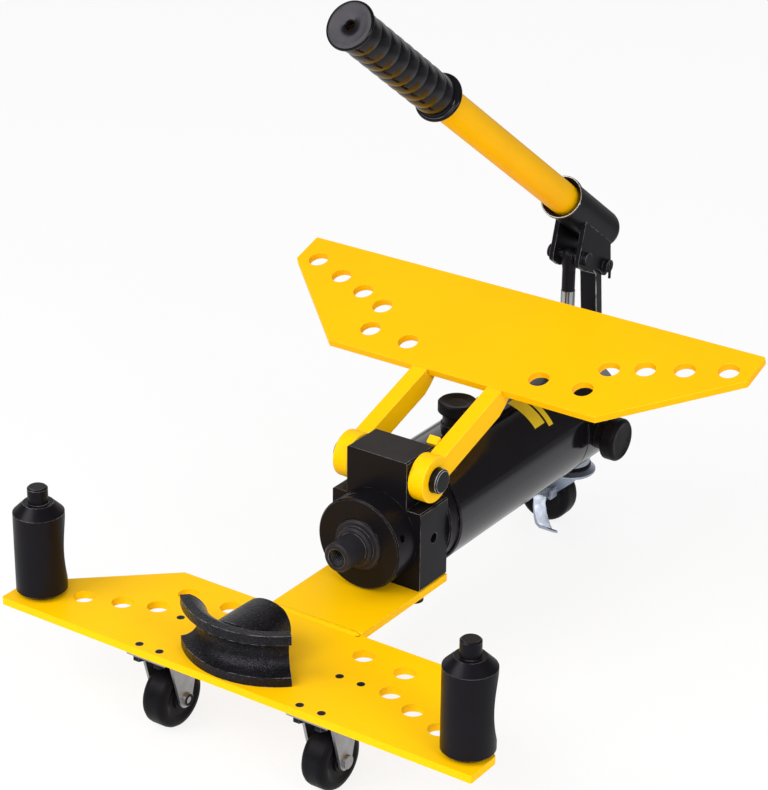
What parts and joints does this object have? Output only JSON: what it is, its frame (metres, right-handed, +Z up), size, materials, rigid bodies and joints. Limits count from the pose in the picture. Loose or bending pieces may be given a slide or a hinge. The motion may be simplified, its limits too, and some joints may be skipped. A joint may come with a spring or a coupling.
{
  "type": "hydraulic pipe bender",
  "caption": "Floor-standing hydraulic pipe bender with an open-wing frame, swing-up upper plate, ram, pipe rollers, bending former, hand pump lever and caster wheels.",
  "frame": {"origin": "floor level under the middle of the whole box at rest, upper plate open and lever raised", "axes": "+Z up from the floor, -Y the way the ram pushes out, +X the release knob's side"},
  "size_m": [0.542, 0.6731, 0.6873],
  "materials": {
    "yellow_paint": "semi-gloss yellow enamel on steel plate and tube",
    "black_paint": "semi-gloss black enamel on steel",
    "black_iron": "black painted rough casting",
    "black_steel": "black oxide on turned steel",
    "bright_steel": "turned and ground steel",
    "chrome_steel": "hard chrome on a ground rod",
    "brass_bush": "turned bearing brass",
    "zinc_plate": "bright zinc plating on pressed steel",
    "wheel_plastic": "black moulded wheel with a satin tread",
    "black_plastic": "satin black moulding",
    "grip_rubber": "satin black grip rubber",
    "seal_rubber": "dark oil-resistant rubber"
  },
  "bodies": {
    "frame": {"lower_plate": "yellow_paint", "tongue_plate": "yellow_paint", "weld_bead": "yellow_paint", "head_block": "black_paint", "block_bolts": "black_steel", "pivot_pins": "black_steel", "collar_nut": "black_paint", "lock_ring": "black_paint", "pressure_cylinder": "bright_steel", "guide_bush": "brass_bush", "wiper_ring": "seal_rubber", "reservoir_tube": "black_paint", "pump_body": "black_paint", "return_spring": "bright_steel", "filler_neck": "black_paint", "valve_housing": "black_paint", "plunger_gland": "black_steel", "fulcrum_bracket": "black_paint", "link_base_pin": "black_steel", "caster_screws": "black_steel", "left_caster": "zinc_plate", "left_axle": "zinc_plate", "right_caster": "zinc_plate", "right_axle": "zinc_plate", "rear_caster_race": "zinc_plate"},
    "upper_frame": {"upper_plate": "yellow_paint", "left_arm": "yellow_paint", "right_arm": "yellow_paint", "stop_lug": "yellow_paint"},
    "ram_body": {"ram": "black_steel", "piston_seal": "seal_rubber"},
    "link": {"fulcrum_link": "black_paint"},
    "lever": {"handle_socket": "black_paint", "socket_cheeks": "black_paint", "plunger_pin": "black_steel", "link_top_pin": "black_steel", "handle_tube": "yellow_paint", "handle_grip": "grip_rubber"},
    "plunger": {"pump_plunger": "chrome_steel", "plunger_eye": "black_paint"},
    "release_valve": {"release_spindle": "bright_steel", "release_knob": "black_plastic"},
    "cap": {"filler_cap": "black_plastic"},
    "swivel": {"rear_fork": "zinc_plate", "rear_axle": "zinc_plate", "brake_pin": "zinc_plate"},
    "left_tread": {"left_wheel": "wheel_plastic"},
    "right_tread": {"right_wheel": "wheel_plastic"},
    "rear_tread": {"rear_wheel": "wheel_plastic"},
    "pedal": {"brake_pedal": "zinc_plate"},
    "left_post": {"left_roller": "black_paint"},
    "right_post": {"right_roller": "black_paint"},
    "former": {"bending_former": "black_iron"}
  },
  "joints": [
    {"name": "upper_frame_hinge", "type": "hinge", "parent": "frame", "child": "upper_frame", "pos_m": [0, -0.06941, 0.2084], "axis": [1, 0, 0], "range_deg": [0, 161.8]},
    {"name": "ram_slide", "type": "slide", "parent": "frame", "child": "ram_body", "axis": [0, -1, 0], "range_m": [0, 0.05]},
    {"name": "link_hinge", "type": "hinge", "parent": "frame", "child": "link", "pos_m": [0, 0.31109, 0.214], "axis": [1, 0, 0], "range_deg": [-3.8, 0]},
    {"name": "lever_hinge", "type": "hinge", "parent": "link", "child": "lever", "pos_m": [0, 0.30209, 0.301], "axis": [1, 0, 0], "range_deg": [0, 26]},
    {"name": "plunger_slide", "type": "slide", "parent": "frame", "child": "plunger", "axis": [0, 0, 1], "range_m": [-0.0185, 0]},
    {"name": "release_turn", "type": "hinge", "parent": "frame", "child": "release_valve", "pos_m": [0.078, 0.23609, 0.14], "axis": [1, 0, 0], "range_deg": [0, 270]},
    {"name": "cap_turn", "type": "hinge", "parent": "frame", "child": "cap", "pos_m": [0, 0.04809, 0.228], "axis": [0, 0, 1], "continuous": true},
    {"name": "left_wheel_spin", "type": "hinge", "parent": "frame", "child": "left_tread", "pos_m": [-0.093, -0.29791, 0.0315], "axis": [1, 0, 0], "continuous": true},
    {"name": "right_wheel_spin", "type": "hinge", "parent": "frame", "child": "right_tread", "pos_m": [0.093, -0.29791, 0.0315], "axis": [1, 0, 0], "continuous": true},
    {"name": "rear_swivel", "type": "hinge", "parent": "frame", "child": "swivel", "pos_m": [0, 0.27709, 0.076], "axis": [0, 0, 1], "continuous": true},
    {"name": "rear_wheel_spin", "type": "hinge", "parent": "swivel", "child": "rear_tread", "pos_m": [-0.026, 0.27709, 0.0315], "axis": [0, 1, 0], "continuous": true},
    {"name": "brake_press", "type": "hinge", "parent": "swivel", "child": "pedal", "pos_m": [-0.015, 0.25109, 0.044], "axis": [1, 0, 0], "range_deg": [0, 12]},
    {"name": "left_roller_spin", "type": "hinge", "parent": "frame", "child": "left_post", "pos_m": [-0.246, -0.30491, 0.146], "axis": [0, 0, 1], "continuous": true},
    {"name": "right_roller_spin", "type": "hinge", "parent": "frame", "child": "right_post", "pos_m": [0.246, -0.30491, 0.146], "axis": [0, 0, 1], "continuous": true},
    {"name": "former_lift", "type": "slide", "parent": "frame", "child": "former", "axis": [0, 0, 1], "range_m": [0, 0.04]}
  ],
  "couplings": [
    {"joint": "link_hinge", "follows": "lever_hinge", "ratio": -0.1418},
    {"joint": "plunger_slide", "follows": "lever_hinge", "m_per_rad": -0.03995}
  ]
}
